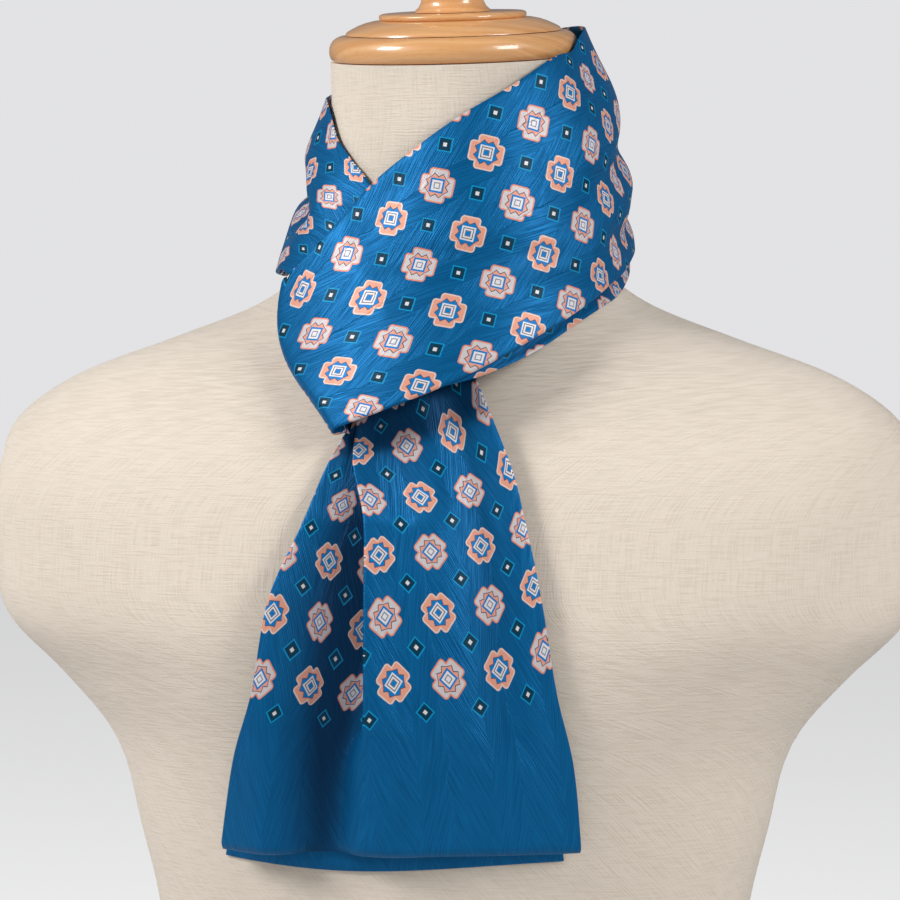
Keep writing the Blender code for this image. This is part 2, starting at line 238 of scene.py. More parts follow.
def add_relief(tree, shader, height, depth, strength):
    """Threads or grain in relief, where a height of 1 stands this many mm proud."""
    bump = add_node(tree, "ShaderNodeBump",
                    {"Height": height, "Distance": depth * MM, "Strength": strength})
    tree.links.new(bump.outputs["Normal"], shader.inputs["Normal"])


def make_linen():
    """Undyed linen: threads of uneven thickness, up and round, with slubs."""
    look, tree, shader = new_material("linen", (0.83, 0.74, 0.62), 0.88, Sheen_Weight=0.15)
    round_mm, up_mm = cloth_place(tree)
    weft = streaks(tree, up_mm, round_mm, 0.5, 7.0, 1.0, 3.0)
    warp = streaks(tree, round_mm, up_mm, 0.5, 8.0, 1.0, 7.0)
    slubs_across = streaks(tree, up_mm, round_mm, 0.9, 16.0, 0.0, 11.0)
    slubs_up = streaks(tree, round_mm, up_mm, 0.9, 18.0, 0.0, 17.0)
    threads = calc(tree, "ADD", weft, warp)
    slubs = calc(tree, "ADD", slubs_across, slubs_up)
    slubs = calc(tree, "MULTIPLY_ADD", slubs, 2.4, -2.2, clamp=True)
    shade = calc(tree, "MULTIPLY_ADD", threads, 0.8, -0.3, clamp=True)
    colour = paint(tree, shade, (0.76, 0.66, 0.545, 1), (0.86, 0.765, 0.655, 1))
    slub_mask = calc(tree, "MULTIPLY", slubs, 0.4)
    colour = paint(tree, slub_mask, colour, (0.66, 0.565, 0.44, 1))
    tree.links.new(colour, shader.inputs["Base Color"])
    height = calc(tree, "ADD", threads, slubs)
    add_relief(tree, shader, height, 0.16, 0.7)
    return look


def add_linen_body(look):
    """The body in rings, from the neck's top to the base, with its cloth measured round it."""
    levels = FORM["drop"]
    drops = [levels[0]]
    for above, below in zip(levels[:-1], levels[1:]):
        drops += list(np.linspace(above, below, RINGS_PER_LEVEL + 1)[1:])
    angle = np.linspace(0, 2 * math.pi, FORM_SIDES, endpoint=False)
    lean = np.array(cap_lean().to_matrix())
    points, reach = [], []
    for drop in drops:
        half_width, front, back, squareness = form_level(drop)
        across, along = np.cos(angle), np.sin(angle)
        x = half_width * np.sign(across) * np.abs(across) ** (2 / squareness)
        depth = np.where(along < 0, front, back)
        y = depth * np.sign(along) * np.abs(along) ** (2 / squareness)
        ring = np.stack([x, y, np.full_like(x, NECK_TOP - drop)], -1)
        leaning = (ring - [0, 0, NECK_TOP + SEAM]) @ lean.T + [0, 0, NECK_TOP]
        share = max(0.0, 1 - drop / TILT_FADES) ** 2
        ring = ring * (1 - share) + leaning * share
        points += list(ring)
        steps = np.linalg.norm(np.diff(np.vstack([ring, ring[:1]]), axis=0), axis=1)
        reach.append(np.concatenate([[0], np.cumsum(steps)]))
    faces, uv = [tuple(range(FORM_SIDES))], [(0, 0)] * FORM_SIDES
    for i in range(len(drops) - 1):
        for j in range(FORM_SIDES):
            k = (j + 1) % FORM_SIDES
            upper, lower = i * FORM_SIDES, (i + 1) * FORM_SIDES
            faces.append((upper + j, lower + j, lower + k, upper + k))
            uv += [(reach[i][j], -drops[i]), (reach[i + 1][j], -drops[i + 1]),
                   (reach[i + 1][j + 1], -drops[i + 1]), (reach[i][j + 1], -drops[i])]
    faces.append(tuple(reversed(range(len(points) - FORM_SIDES, len(points)))))
    uv += [(0, 0)] * FORM_SIDES
    return add_piece("linen_body", points, faces, look, uv)


linen_body = add_linen_body(make_linen())
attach(linen_body, "root")
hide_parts("form_body")

# ---------------------------------------------------------------------------
# The neck cap: three turned pieces of pale wood, glued on one another and varnished. The
# cap leans a little forward with the neck.

CAP_SIDES = 128
# Each outline runs from the piece's top to its underside, in mm from the cap's axis and above
# the neck's top
CAP_RING = table(
    "radius height",
    (0, 13.0), (56.5, 13.0), (58.8, 12.8), (60.8, 12.0), (62.4, 10.8), (63.6, 9.1),
    (64.3, 7.2), (64.5, 5.4), (64.4, 3.6), (64.0, 2.1), (63.3, 1.0), (62.3, 0.3),
    (61.2, 0.0), (0, 0.0),
)
CAP_DOME = table(
    "radius height",
    (0, 23.6), (36.6, 23.6), (37.7, 23.2), (38.2, 22.4), (38.2, 21.4), (37.8, 20.7),
    (37.3, 20.4), (39.0, 20.35), (42.0, 20.0), (45.5, 19.2), (49.0, 17.95), (52.3, 16.4),
    (54.6, 15.2), (55.5, 14.4), (55.8, 13.3), (0, 13.3),
)
CAP_KNOB = table(
    "radius height",
    (0, 62.0), (4.5, 61.8), (9.0, 60.8), (13.2, 59.1), (17.0, 56.5), (19.9, 53.2),
    (21.6, 49.5), (22.1, 46.0), (21.5, 42.6), (20.1, 39.6), (18.2, 36.8), (16.7, 34.2),
    (16.0, 31.6), (16.3, 29.0), (17.4, 26.7), (18.9, 25.3), (19.5, 24.7), (19.5, 23.9),
    (0, 23.9),
)


def make_varnished_wood():
    """Pale hardwood with its grain lying across, under a clear gloss varnish."""
    look, tree, shader = new_material(
        "varnished_wood", (0.80, 0.44, 0.19), 0.36, Coat_Weight=0.75, Coat_Roughness=0.1)
    where = add_node(tree, "ShaderNodeTexCoord")
    place = add_node(tree, "ShaderNodeSeparateXYZ", {0: where.outputs["Object"]})
    x, y, z = (calc(tree, "MULTIPLY", place.outputs[axis], 1 / MM) for axis in range(3))
    waver = streaks(tree, y, x, 38.0, 55.0, 1.0, 2.0)
    depth = calc(tree, "MULTIPLY_ADD", y, 0.18, z)
    depth = calc(tree, "MULTIPLY_ADD", waver, 9.0, depth)
    bands = streaks(tree, depth, x, 2.6, 120.0, 2.0, 5.0)
    fine = streaks(tree, depth, x, 0.5, 26.0, 1.0, 9.0)
    pores = streaks(tree, depth, x, 0.35, 5.0, 0.0, 13.0)
    grain = calc(tree, "MULTIPLY_ADD", bands, 2.2, -0.75, clamp=True)
    colour = paint(tree, grain, (0.70, 0.33, 0.115, 1), (0.90, 0.52, 0.24, 1))
    fine_mask = calc(tree, "MULTIPLY_ADD", fine, 1.6, -0.6, clamp=True)
    fine_mask = calc(tree, "MULTIPLY", fine_mask, 0.45)
    colour = paint(tree, fine_mask, colour, (0.66, 0.36, 0.15, 1))
    pore_mask = calc(tree, "MULTIPLY_ADD", pores, -6.0, 2.0, clamp=True)
    pore_mask = calc(tree, "MULTIPLY", pore_mask, 0.4)
    colour = paint(tree, pore_mask, colour, (0.42, 0.19, 0.07, 1))
    tree.links.new(colour, shader.inputs["Base Color"])
    add_relief(tree, shader, fine, 0.04, 0.5)
    return look


def add_turned(name, outline, look):
    """A piece turned about the cap's axis, which stands on the neck's top."""
    radius, height = outline["radius"], outline["height"]
    angles = np.linspace(0, 2 * math.pi, CAP_SIDES, endpoint=False)
    points = [(0, 0, height[0]), (0, 0, height[-1])]
    for r, h in zip(radius[1:-1], height[1:-1]):
        points += [(r * math.cos(a), r * math.sin(a), h) for a in angles]
    rings = len(radius) - 2
    faces = []
    for j in range(CAP_SIDES):
        k = (j + 1) % CAP_SIDES
        last = 2 + (rings - 1) * CAP_SIDES
        faces.append((0, 2 + j, 2 + k))
        faces.append((1, last + k, last + j))
        for i in range(rings - 1):
            upper, lower = 2 + i * CAP_SIDES, 2 + (i + 1) * CAP_SIDES
            faces.append((upper + j, lower + j, lower + k, upper + k))
    points = np.array(points) @ np.array(cap_lean().to_matrix()).T + [0, 0, NECK_TOP]
    return add_piece(name, points, faces, look, sharp_over=42.0)


varnished_wood = make_varnished_wood()
for name, outline in (("cap_ring", CAP_RING), ("cap_dome", CAP_DOME), ("cap_knob", CAP_KNOB)):
    turned = add_turned("turned_" + name, outline, varnished_wood)
    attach(turned, "root")
    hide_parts(name)

# ---------------------------------------------------------------------------
# The scarf: one strip of blue satin, two layers bagged out at the edges, printed with a
# small repeat. A knife pleat runs down its length. It hangs down the chest, passes up round
# the neck and comes back across the front as a band, which turns under at the left.

SCARF_WIDTH = 180.0
WALL = 1.0  # both layers of satin together
EDGE_STANDS_OUT = 0.45  # of the wall, which rounds the strip's edge
PLEAT_AT = 111.0  # mm from the strip's neck-side edge to the pleat's fold
LAYERS_APART = 1.4  # mm between the middles of the pleat's layers
PLEAT_PRESSED = 0.86  # how much of a half round each of the pleat's turns keeps
OPEN_PLEAT = 15.0  # mm that the pleat's turns take up across the strip where it is open
PLEAT_OPENS_AT = (1.5, 7.0)  # mm of tuck: open below the first, folded above the second
LEFT_FOLD_RADIUS = 5.0
LEFT_FOLD_BOW = 12.5  # mm that the band's left end bows out, along the strip
PRINT_PITCH = 30.0  # from one medallion to the next
HEM_TO_PRINT = 2.9  # repeats from the hem to the first row of medallions
PAST_FOLD_SCALE = 1.37  # mm of print to one mm across, where the strip slants past the pleat
SLANTS_IN_FULL = 1.7  # the station by which it does

# Each row is a section across the strip: where its neck-side edge and the pleat's fold lie,
# how far the face between them bellies out, and how deep the pleat tucks
SCARF = table(
    "name top_wound top_out top_drop fold_wound fold_out fold_drop belly tuck",
    ("hem", -35.0, 137.4, 395.0, 12.0, 128.0, 396.8, 5.7, -1.2),
    ("tail_low", -32.6, 139.6, 351.0, 11.0, 131.7, 351.0, 5.0, 2),
    ("tail_knee", -29.1, 138.2, 315.0, 11.0, 132.1, 316.0, 4.0, 7.2),
    ("tail_mid", -26.6, 132.5, 269.0, 11.8, 127.5, 270.0, 2.8, 11),
    ("tail_high", -24.2, 122.9, 230.5, 13.2, 121.0, 231.0, 2.6, 19),
    ("tail_neck", -21.5, 113.9, 201.5, 17.9, 115.6, 202.0, 2.6, 28),
    ("crossing", -14.4, 98.7, 162.6, 17.3, 113.7, 183.0, 2, 32.5),
    ("under_low", -7.3, 93.0, 138.0, 20.5, 109.0, 161.0, 3, 34),
    ("under_high", 5.8, 82.0, 106.0, 31.0, 102.0, 136.0, 3, 34),
    ("vee", 28.3, 69.5, 68.5, 45.0, 97.5, 116.5, 2, 34),
    ("left_front", 43.6, 67.0, 53.0, 56.5, 96.5, 108.0, 2, 34),
    ("left_near", 55.0, 66.5, 43.0, 67.0, 93.0, 110.0, 2, 34),
    ("left", 72.5, 65.8, 25.0, 84.0, 88.5, 111.0, 2, 34),
    ("left_back", 105.0, 67.0, 17.0, 112.0, 88.0, 109.0, 4, 33),
    ("back_left", 140.0, 67.5, 4.0, 146.0, 90.0, 106.0, 4, 32),
    ("back", 180.0, 67.5, -9.0, 183.0, 91.0, 103.0, 5, 32),
    ("back_right", 220.0, 68.0, -16.0, 218.0, 92.0, 100.0, 5, 31),
    ("right_back", 245.0, 68.0, -17.0, 240.0, 93.0, 98.0, 5, 31),
    ("right", 265.0, 67.5, -14.5, 257.0, 93.5, 97.0, 5, 31),
    ("right_near", 279.0, 67.5, -10.0, 267.0, 93.5, 99.5, 5, 30),
    ("right_front", 289.0, 67.5, -2.0, 276.0, 94.0, 103.0, 5, 29),
    ("band_1", 305.0, 68.5, 2.0, 288.0, 94.5, 111.0, 5, 29),
    ("band_2", 327.4, 69.5, 16.6, 300.0, 97.0, 117.5, 5, 30),
    ("band_3", 349.0, 71.5, 31.5, 315.0, 100.0, 129.0, 6, 31),
    ("band_4", 369.0, 73.5, 49.5, 331.0, 104.5, 142.0, 6, 31),
    ("band_5", 385.0, 77.0, 66.5, 345.0, 109.0, 155.0, 6, 32.5),
    ("band_6", 394.5, 86.5, 85.0, 358.5, 113.5, 167.0, 4, 35),
    ("left_fold", 408.0, 101.5, 112.5, 381.5, 119.0, 185.0, 2.5, 36),
)
# The same sections in the print: mm from the strip's edge at the neck-side edge and at the
# fold, how far it swells between them, where the strip's far edge lies, how far along it is,
# in repeats, and how far it lags at the edge and at the fold, where the cloth is skewed
PRINT = table(
    "name top fold swell far along edge_lag fold_lag",
    ("hem", 1, 115, 3.3, 186.5, -2.9, 0.5, 0),
    ("tail_low", 1, 113.5, 3.3, 188, -1.42, 0.5, 0),
    ("tail_knee", 1.5, 111.5, 3.3, 188.5, -0.22, 0.5, 0),
    ("tail_mid", 2, 105, 2.7, 188.5, 1.22, 0.5, 0),
    ("tail_high", 3, 101, 2.8, 175.5, 2.58, 0.5, 0),
    ("tail_neck", 4, 97.5, 3.5, 179, 3.74, 0.7, 0),
    ("crossing", 4, 97.5, 3.5, 182, 4.72, 0.5, 0),
    ("under_low", 4, 99, 2, 182, 5.35, 0.3, 0),
    ("under_high", 4, 102, 0, 182, 5.8, 0, 0.2),
    ("vee", 4, 103, 0, 182, 6.5, 0, 0.4),
    ("left_front", 4, 104, 0, 183, 7.22, 0, 0.5),
    ("left_near", 4, 104, 0, 183, 7.77, 0, 0.5),
    ("left", 4, 106, 0, 185, 8.78, 0, 0.4),
    ("left_back", 5, 111, 0, 190, 10.2, 0, 0.2),
    ("back_left", 6, 116, 0, 195, 11.8, 0, 0),
    ("back", 8, 122, 0, 201, 13.65, 0, 0),
    ("back_right", 10, 128, 0, 207, 15.45, 0, 0),
    ("right_back", 12, 133, 0, 212, 16.7, 0, 0.1),
    ("right", 14, 138, 0, 217, 17.65, 0, 0.2),
    ("right_near", 15, 141, 2, 220, 18.3, 0, 0.25),
    ("right_front", 15, 142, 4, 221, 19.07, 0, 0.2),
    ("band_1", 14, 138, 1, 217, 20, 0, 0.03),
    ("band_2", 12.7, 132, 0, 211, 21, 0, 0),
    ("band_3", 12.5, 129.5, 0, 208.5, 22, 0, 0),
    ("band_4", 12.3, 129.5, 0, 208.5, 23.05, 0, 0),
    ("band_5", 12.9, 129.5, 0, 208.5, 24.03, 0, 0),
    ("band_6", 15.5, 129, 0, 208, 24.93, 0, 0),
    ("left_fold", 20, 128, 0, 207, 26.55, 0, 0),
)
# The lag at the edge fades out by so many mm from it. Against the mm from the edge: the share
# of the fold's lag that is felt, and how many repeats ahead the hanging tail is
EDGE_LAG_ENDS, EDGE_LAG_POWER = 100.0, 2.6
FOLD_LAG = ((30, 102), (0, 1.2))
TAIL_LEAD = ((90, 125, 185), (0, 0.22, 0))
TAIL_LEAD_FADES = 3.0  # stations, up to under_low
STATION = {str(name): float(i) for i, name in enumerate(SCARF["name"])}

# Each row is a crease of the face: the stations it runs from and to, how many mm from the
# neck-side edge at each end, its height (a trough below 0) and its half width
CREASES = (
    ("left_upper_lobe", "vee", "back_left", 24, 30, 2.5, 14),
    ("left_notch", "left_front", "back", 36, 56, -7.5, 8),
    ("left_lower_lobe", "left_front", "back", 66, 84, 2.0, 15),
    ("right_upper_lobe", "back_left", "band_2", 34, 40, 4.0, 20),
    ("right_notch", "back", "band_2", 58, 66, -3.0, 8),
    ("right_lower_lobe", "back", "band_2", 80, 82, 2.5, 12),
    ("right_lower_notch", "back", "band_2", 94, 97, -4.0, 8),
    ("tail_hollow", "tail_high", "under_low", 66, 60, -9.0, 26),
    ("tail_trough", "tail_low", "under_low", 31, 11, -7, 12),
    ("tail_swell", -4, "crossing", 96, 88, 3.5, 15),
    ("panel_swell", -4, "crossing", 172, 122, 9.0, 20),
    ("band_dent", "band_4", "band_6", 10, 14, -1.6, 7),
    ("band_slant", "band_2", "band_6", 96, 30, -2.2, 8),
    ("band_slant_low", "band_1", "band_5", 116, 62, -1.8, 8),
)
# Where the strip lies past the pleat, it falls back into a hollow beside the fold. A row to
# each station: how far past the fold the hollow's middle lies, its depth and its half width
HOLLOW = table(
    "past depth half_width",
    (24, 8, 13),  # hem
    (22, 10, 16),
    (16, 12, 20),
    (9, 13, 23),
    (4, 10, 18),
    (2, 3, 18),
    *[(0, 0, 17)] * 4,  # from the crossing to the vee
    (0, 0, 10),
    *[(0, 0, 6)] * 8,  # round the neck, from left_near to right
    (1, 1.5, 6),
    (2, 3, 6),
    *[(2, 4, 6)] * 4,  # from band_1 to band_4
    (2, 2, 6),
    *[(2, 0, 6)] * 2,
)
# Painted shade: the satin's colour turns deeper blue where the cloth lies deep in a hollow or
# crease, and as a painted shadow just under the band's edge on the hanging tail
DEEP_FOLD = 10.0  # mm; a fold this deep gets the full painted shade
CREASE_SHADE = 0.4  # of the shade of a hollow that is as deep
BAND_COVERS_FROM = 5.75  # the station where the band lies over the tail's neck-side edge
BAND_EDGE_SLANT, BAND_EDGE_BLUR = 0.6, 0.3  # stations, across the strip and at the band's edge
BAND_SHADE, BAND_SHADE_POWER = 0.85, 1.5
BAND_SHADE_ENDS = 0.4  # stations before the vee
FOLD_SHADE = 0.86  # how far the painted shade dims the satin in a fold that is fully in shade
CLOTH_UNDER = 3.3  # mm that the back tail takes up between the body and the front tail
SOFT_CONTACT = 1.5  # mm over which the front tail comes to rest on it
HEM_ROLL, HEM_ROLL_DEPTH = 0.11, 3.0  # the pressed edge of the hem: in stations, and mm
HEM_ROWS = 5
ROWS_PER_STATION = 15
FACE_COLUMNS = 44
TURN_COLUMNS = 6
TUCK_COLUMNS = 5
PLEAT_COLUMNS = 2 * TURN_COLUMNS + TUCK_COLUMNS
REST_COLUMNS = 22  # past the pleat
TURN_ROWS = 12  # round the left fold
STATION_STEP, ACROSS_STEP = 0.02, 0.5  # stations and mm to the points that give a slope


def ease(share):
    """From 0 to 1, with a soft start and end."""
    share = np.clip(share, 0, 1)
    return share * share * (3 - 2 * share)


def at_station(station, column):
    """A column of the scarf's table at a station, or at many."""
    return smooth(np.arange(len(SCARF["name"])), SCARF[column], station)


def base_surface(station, across):
    """The strip's face, carried on flat past the pleat: station x across grid of points."""
    station = station[:, None]
    top = polar(*(at_station(station, "top_" + c) for c in ("wound", "out", "drop")))
    fold = polar(*(at_station(station, "fold_" + c) for c in ("wound", "out", "drop")))
    face = np.linalg.norm(fold - top, axis=-1)
    share = across / face
    outward = unit(((top + fold) / 2) * [1, 1, 0])
    line = top + (fold - top) * share[..., None]
    arch = 4 * share * (1 - share)
    points = line + outward * (arch * at_station(station, "belly"))[..., None]
    # The band's left end bows out, more at its upper edge than at the pleat's fold
    bowed = np.clip(station - STATION["band_6"], 0, 1) * LEFT_FOLD_BOW
    onward = unit(np.cross(unit(fold - top), outward))
    bow = np.clip(arch, 0, None) * (1.8 - 1.7 * share) * bowed
    return points + onward * bow[..., None], face


def crease_height(station, across):
    """How far the creases lift the cloth: soft ridges that fade at both their ends."""
    total = np.zeros(np.broadcast(station[:, None], across).shape)
    for _, start, end, across_from, across_to, height, half_width in CREASES:
        first, last = (STATION[s] if isinstance(s, str) else s for s in (start, end))
        along = np.clip((station[:, None] - first) / (last - first), 0, 1)
        middle = across_from + (across_to - across_from) * along
        side = np.exp(-(((across - middle) / half_width) ** 2))
        total += height * side * np.sin(math.pi * along) ** 0.7
    return total


def pleat_path(face, tuck):
    """Across the strip at one station: (distance from its edge, depth under the face)."""
    radius = LAYERS_APART / 2
    half_turn = np.linspace(0, math.pi, TURN_COLUMNS + 1)
    round_x, round_e = radius * np.sin(half_turn), radius * (1 - np.cos(half_turn))
    flat = np.linspace(0, face, FACE_COLUMNS + 1)[:-1]
    between = np.linspace(0, 1, TUCK_COLUMNS + 2)[1:-1]
    folded_x = np.concatenate([round_x, -tuck * between, -tuck - round_x])
    turned_e = round_e * PLEAT_PRESSED
    level = np.full(TUCK_COLUMNS, LAYERS_APART)
    depth = np.concatenate([turned_e, level, 2 * LAYERS_APART - turned_e[::-1]])
    opening = np.linspace(0, 1, len(depth))
    opens_at, folds_at = PLEAT_OPENS_AT
    folded = ease((tuck - opens_at) / (folds_at - opens_at))
    pleat_x = face + OPEN_PLEAT * opening * (1 - folded) + folded_x * folded
    open_e = LAYERS_APART * (1 - np.cos(math.pi * opening))
    depth = open_e * (1 - folded) + depth * folded
    peek = SCARF_WIDTH - PLEAT_AT - 2 * tuck
    rest = np.linspace(pleat_x[-1], face + peek, REST_COLUMNS + 1)[1:]
    x = np.concatenate([flat, pleat_x, rest])
    e = np.concatenate([0 * flat, depth, np.full(REST_COLUMNS, 2 * LAYERS_APART)])
    return x, e


def keep_off_body(stations, middle):
    """The hanging tail lies on the back tail and the body where its hollows would reach them."""
    out = np.hypot(middle[..., 0], middle[..., 1])
    wound = np.degrees(np.arctan2(-middle[..., 0], -middle[..., 1]))
    room = out - form_out(wound, NECK_TOP - middle[..., 2]) - CLOTH_UNDER
    pushed = (np.sqrt(room**2 + SOFT_CONTACT**2) - room) / 2
    hangs = np.clip(STATION["under_low"] - stations, 0, 1)[:, None]
    return middle * (1 + [1, 1, 0] * (pushed * hangs / out)[..., None])


def panel_hollow(stations, across, face):
    """How far the strip past the pleat falls back beside the fold, on the hanging tail."""
    keys = np.arange(len(HOLLOW["past"]))
    place = np.clip(stations, 0, keys[-1])[:, None]
    past, depth, half_width = (
        smooth(keys, HOLLOW[c], place) for c in ("past", "depth", "half_width"))
    side = np.exp(-(((across - face - past) / half_width) ** 2))
    past_fold = ease((np.arange(across.shape[1]) - FACE_COLUMNS) / PLEAT_COLUMNS)
    return np.clip(depth, 0, None) * side * past_fold


def shade_depth(stations, across, face, creases, hollow):
    """How much painted shade each point gets, from 0 to 1, for how deep it lies in a fold or under
    the band.
    """
    painted_shade = np.clip((hollow + CREASE_SHADE * np.clip(-creases, 0, None)) / DEEP_FOLD, 0, 1)
    at = stations[:, None]
    band_edge = BAND_COVERS_FROM - BAND_EDGE_SLANT * np.clip(across / face, 0, 1)
    painted_band_shadow = np.clip((at - band_edge) / BAND_EDGE_BLUR + 1, 0, 1)
    painted_band_shadow = painted_band_shadow * np.clip(STATION["vee"] - BAND_SHADE_ENDS - at, 0, 1)
    return np.maximum(painted_shade, BAND_SHADE * painted_band_shadow**BAND_SHADE_POWER)


def scarf_grid(stations):
    """The strip's middle in rows, the ways out and across, the layers' depth, its place in the
    print, and its painted shade for how deep in a fold or under the band it lies."""
    _, face = base_surface(stations, np.zeros((len(stations), 1)))
    tucks = at_station(stations, "tuck")
    paths = [pleat_path(float(f), float(t)) for f, t in zip(face[:, 0], tucks)]
    across = np.array([x for x, _ in paths])
    depth = np.array([e for _, e in paths])
    points, _ = base_surface(stations, across)
    ahead, _ = base_surface(stations + STATION_STEP, across)
    behind, _ = base_surface(stations - STATION_STEP, across)
    inner, _ = base_surface(stations, across - ACROSS_STEP)
    outer, _ = base_surface(stations, across + ACROSS_STEP)
    outward = unit(np.cross(ahead - behind, outer - inner))
    creases = crease_height(stations, across)
    hollow = panel_hollow(stations, across, face)
    hem_roll = HEM_ROLL_DEPTH * np.clip(1 - stations[:, None] / HEM_ROLL, 0, 1) ** 2
    lift = creases - depth - hollow - hem_roll
    middle = keep_off_body(stations, points + outward * lift[..., None])
    printed = print_place(stations, across, face)
    painted_shade = shade_depth(stations, across, face, creases, hollow)
    return middle, outward, unit(outer - inner), depth[-1], printed, painted_shade


def print_place(stations, across, face):
    """Where each point lies in the print: mm from the strip's edge, and mm along it."""
    keys = np.arange(len(PRINT["name"]))
    place = stations[:, None]
    top, fold, swell, far, along, edge_lag, fold_lag = (
        smooth(keys, PRINT[c], place)
        for c in ("top", "fold", "swell", "far", "along", "edge_lag", "fold_lag"))
    share = np.clip(across / face, 0, 1)
    # The swell is at its full value a third of the way across, which is what 27 / 4 does
    on_face = top + (fold - top) * share + swell * 27 / 4 * share * (1 - share) ** 2
    scale = 1 + (PAST_FOLD_SCALE - 1) * np.clip(place / SLANTS_IN_FULL, 0, 1)
    rest = far - (across[:, -1:] - across) * scale
    column = np.arange(across.shape[1])
    starts = FACE_COLUMNS + PLEAT_COLUMNS + 1
    inside = ease((column - FACE_COLUMNS) / (starts - FACE_COLUMNS))
    pleat = fold + (rest[:, starts:starts + 1] - fold) * inside
    u = np.where(column < FACE_COLUMNS, on_face, np.where(column < starts, pleat, rest))
    v = along - edge_lag * np.clip(1 - u / EDGE_LAG_ENDS, 0, 1) ** EDGE_LAG_POWER
    v = v - fold_lag * np.interp(u, *FOLD_LAG)
    hangs = np.clip((STATION["under_low"] - place) / TAIL_LEAD_FADES, 0, 1)
    v = v + hangs * np.interp(u, *TAIL_LEAD)
    return np.stack([u, v * PRINT_PITCH], -1)


def left_turn(section, faces_out, outward, across, depth, print_end):
    """The band's end turned under: half round a soft fold, the pleat's layers inside."""
    onward = unit(np.cross(across, outward))
    radius = (LEFT_FOLD_RADIUS - depth)[:, None]
    radial = (faces_out * outward).sum(-1, keepdims=True)
    turned, turned_out, printed = [], [], []
    for i in range(1, TURN_ROWS + 1):
        angle = math.pi * i / TURN_ROWS
        moved = onward * math.sin(angle) - outward * (1 - math.cos(angle))
        turned.append(section + moved * radius)
        swung = onward * math.sin(angle) + outward * math.cos(angle)
        turned_out.append(unit(faces_out - outward * radial + swung * radial))
        printed.append(print_end + [0, angle * LEFT_FOLD_RADIUS])
    return np.array(turned), np.array(turned_out), np.array(printed)


def add_cloth(name, middle, faces_out, printed, look, painted_shade):
    """A closed thin wall of cloth about a grid of middle points, with a rounded edge."""
    rows, columns = middle.shape[:2]
    count = rows * columns
    outer = (middle + faces_out * WALL / 2).reshape(-1, 3)
    inner = (middle - faces_out * WALL / 2).reshape(-1, 3)
    rim = [(0, j) for j in range(columns)]
    rim += [(i, columns - 1) for i in range(1, rows)]
    rim += [(rows - 1, j) for j in range(columns - 2, -1, -1)]
    rim += [(i, 0) for i in range(rows - 2, 0, -1)]
    edge = []
    for i, j in rim:
        inside = middle[min(max(i, 1), rows - 2), min(max(j, 1), columns - 2)]
        edge.append(middle[i, j] + unit(middle[i, j] - inside) * WALL * EDGE_STANDS_OUT)
    points = np.concatenate([outer, inner, edge])
    place = printed.reshape(-1, 2)
    place = np.concatenate([place, place, [printed[i, j] for i, j in rim]])
    faces = []
    for i in range(rows - 1):
        for j in range(columns - 1):
            a, b = i * columns + j, i * columns + j + 1
            c, d = b + columns, a + columns
            faces.append((a, d, c, b))
            faces.append((a + count, b + count, c + count, d + count))
    numbers = [i * columns + j for i, j in rim]
    for n, (a, b) in enumerate(zip(numbers, numbers[1:] + numbers[:1])):
        m, o = 2 * count + n, 2 * count + (n + 1) % len(rim)
        faces.append((a, b, o, m))
        faces.append((m, o, b + count, a + count))
    corners = np.array([v for face in faces for v in face])
    # Each point's painted shade, on both faces and the rounded edge
    deep = np.concatenate([painted_shade.ravel(), painted_shade.ravel(), [painted_shade[i, j] for i, j in rim]])
    return add_piece(name, points, faces, look, place[corners], 70.0, deep)


def motif_axes(tree, x, y):
    """Larger and smaller distance from a motif's middle, along arms at 45 degrees to the strip."""
    one = calc(tree, "ABSOLUTE", calc(tree, "MULTIPLY", calc(tree, "ADD", x, y), 0.7071))
    two = calc(tree, "ABSOLUTE", calc(tree, "MULTIPLY", calc(tree, "SUBTRACT", x, y), 0.7071))
    return calc(tree, "MAXIMUM", one, two), calc(tree, "MINIMUM", one, two)


def within(tree, distance, limit=0.0, blur=0.22):
    """1 where a distance is under a limit in mm, with an edge as soft as the blur."""
    past = calc(tree, "SUBTRACT", limit, distance)
    return calc(tree, "MULTIPLY_ADD", past, 1 / blur, 0.5, clamp=True)


def ring(tree, distance, outer, inner):
    """1 between an outer limit and an inner one."""
    return calc(tree, "MULTIPLY", within(tree, distance, outer),
                calc(tree, "SUBTRACT", 1.0, within(tree, distance, inner)))


def both(tree, one, two):
    """1 where both masks are 1."""
    return calc(tree, "MULTIPLY", one, two)


def paint_all(tree, colour, *layers):
    """Colours laid one over another, each with its mask."""
    for mask, over in layers:
        colour = paint(tree, mask, colour, over)
    return colour


def from_halfway(tree, repeats):
    """mm from the place halfway between two medallions."""
    part = calc(tree, "FRACT", calc(tree, "ADD", repeats, 100.0))
    return calc(tree, "MULTIPLY", calc(tree, "SUBTRACT", part, 0.5), PRINT_PITCH)


# The motifs, in mm: the first column of medallions from the strip's edge; a medallion's arms,
# half their width and their length before they are rounded; its border; its star's valleys,
# points and line; and half the side of the small square's rim, field and dot
FIRST_COLUMN = 5.0
ARM_SIDE, ARM_END, ARM_ROUND = 3.4, 7.1, 1.9
BORDER = 0.75
STAR_VALLEY, STAR_REACH, STAR_LINE = 2.2, 6.2, 0.28
SQUARE_RIM, SQUARE_FIELD, SQUARE_DOT = 3.7, 3.0, 0.95


